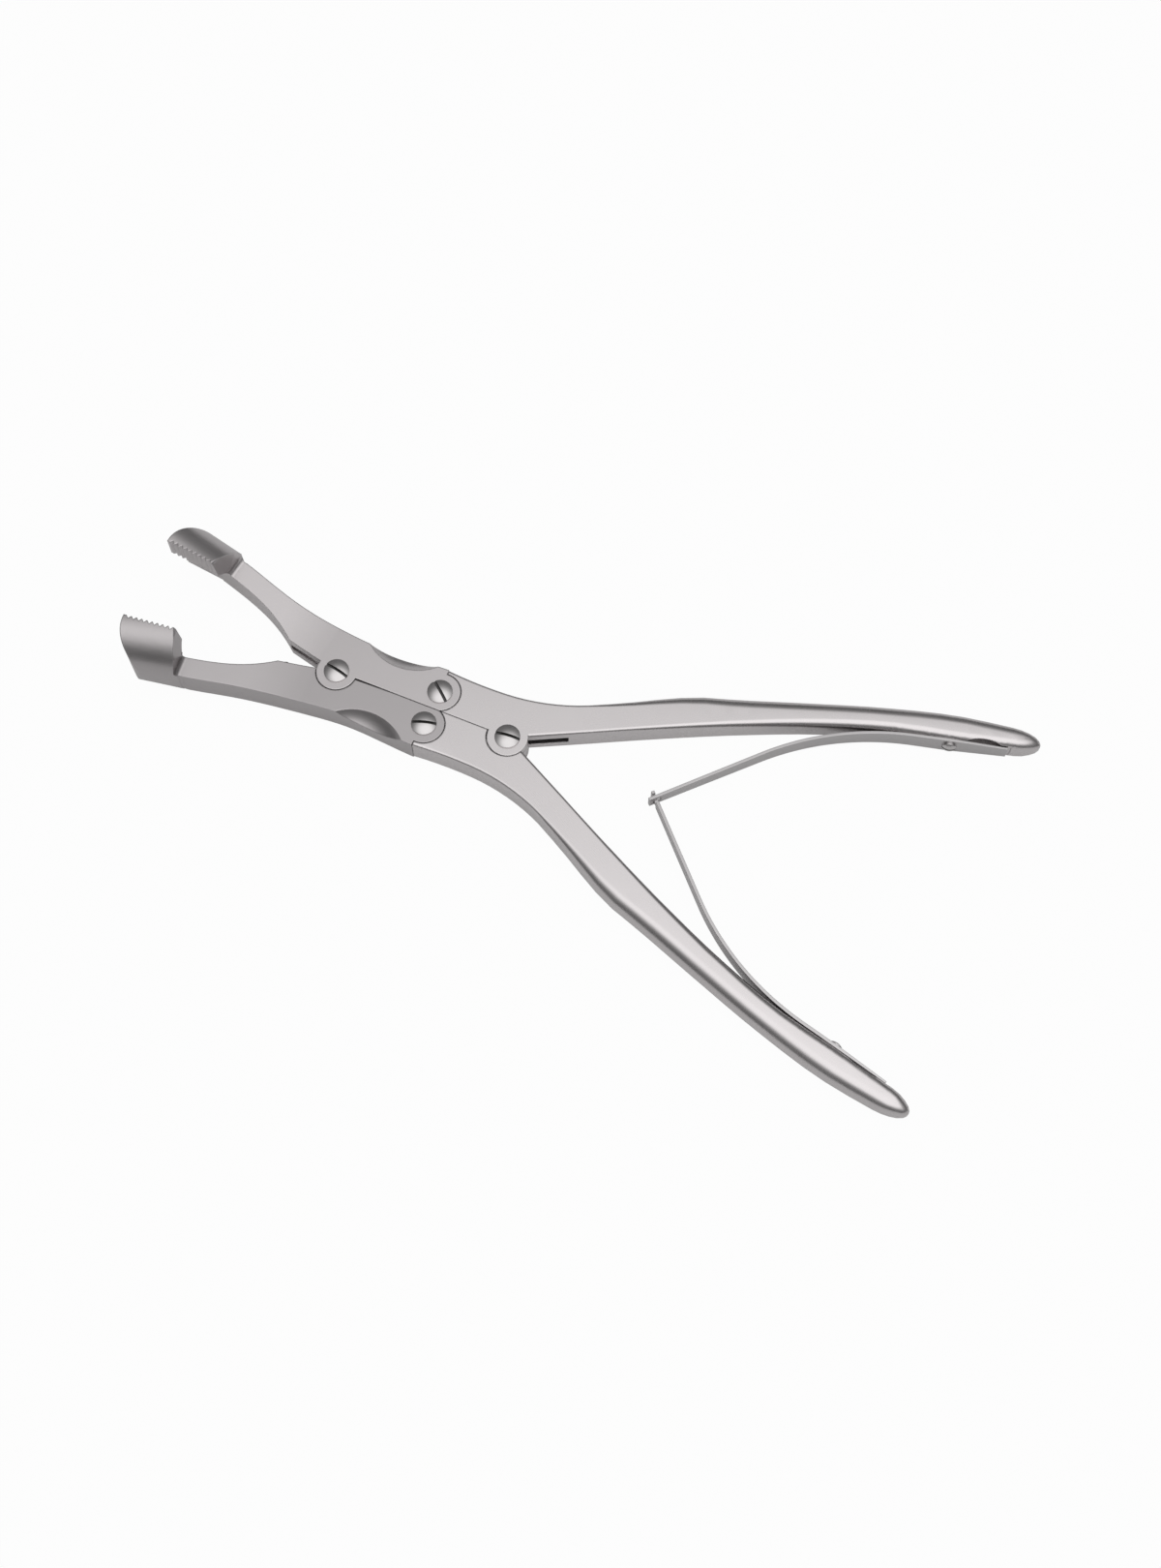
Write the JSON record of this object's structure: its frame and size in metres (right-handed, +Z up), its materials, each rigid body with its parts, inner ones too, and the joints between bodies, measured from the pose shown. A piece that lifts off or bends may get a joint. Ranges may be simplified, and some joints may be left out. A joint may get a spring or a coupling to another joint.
{
  "type": "molar forceps",
  "caption": "Compound-action molar forceps with raised serrated jaws, slotted pivots and crossed leaf springs between long grips.",
  "frame": {"origin": "on the axis of the handle pivot, in the plane of the underside", "axes": "+X from the jaws towards the grip ends, +Y towards the upper half, +Z up out of the plane the forceps lie on"},
  "size_m": [0.2568, 0.122, 0.0227],
  "materials": {
    "jaw_steel": "satin",
    "handle_steel": "satin",
    "spring_steel": "satin",
    "screw_steel": "polished"
  },
  "bodies": {
    "lower_handle": {"lower_handle": "handle_steel", "lower_spring_screw": "screw_steel"},
    "upper_handle": {"upper_handle": "handle_steel", "handle_pivot_screw": "screw_steel", "upper_spring_screw": "screw_steel"},
    "upper_jaw": {"upper_jaw": "jaw_steel", "jaw_pivot_screw": "screw_steel", "upper_link_screw": "screw_steel"},
    "lower_jaw": {"lower_jaw": "jaw_steel", "lower_link_screw": "screw_steel"},
    "upper_leaf": {"upper_leaf_spring": "spring_steel"},
    "lower_leaf": {"lower_leaf_spring": "spring_steel"}
  },
  "joints": [
    {"name": "handle_pivot", "type": "hinge", "parent": "lower_handle", "child": "upper_handle", "pos_m": [0, 0, 0.0041], "axis": [0, 0, -1], "range_deg": [0, 31.7], "stiffness_Nm_per_rad": 1.5, "springref_deg": -8.59},
    {"name": "upper_link_pivot", "type": "hinge", "parent": "upper_handle", "child": "upper_jaw", "pos_m": [-0.0239, 0.00558, 0.0041], "axis": [0, 0, 1], "range_deg": [0, 27.95]},
    {"name": "lower_link_pivot", "type": "hinge", "parent": "lower_handle", "child": "lower_jaw", "pos_m": [-0.0239, -0.00558, 0.0041], "axis": [0, 0, -1], "range_deg": [0, 27.95]},
    {"name": "upper_leaf_bend", "type": "hinge", "parent": "upper_handle", "child": "upper_leaf", "pos_m": [0.1054, 0.0466, 0.0041], "axis": [0, 0, -1], "range_deg": [0, 9.9], "deforming": ["upper_leaf_spring"]},
    {"name": "lower_leaf_bend", "type": "hinge", "parent": "lower_handle", "child": "lower_leaf", "pos_m": [0.1054, -0.0466, 0.0041], "axis": [0, 0, 1], "range_deg": [0, 9.9], "deforming": ["lower_leaf_spring"]}
  ],
  "couplings": [
    {"joint": "upper_link_pivot", "follows": "handle_pivot", "ratio": 0.8814},
    {"joint": "lower_link_pivot", "follows": "handle_pivot", "ratio": 0.8814},
    {"joint": "upper_leaf_bend", "follows": "handle_pivot", "ratio": 0.312},
    {"joint": "lower_leaf_bend", "follows": "handle_pivot", "ratio": 0.312}
  ]
}
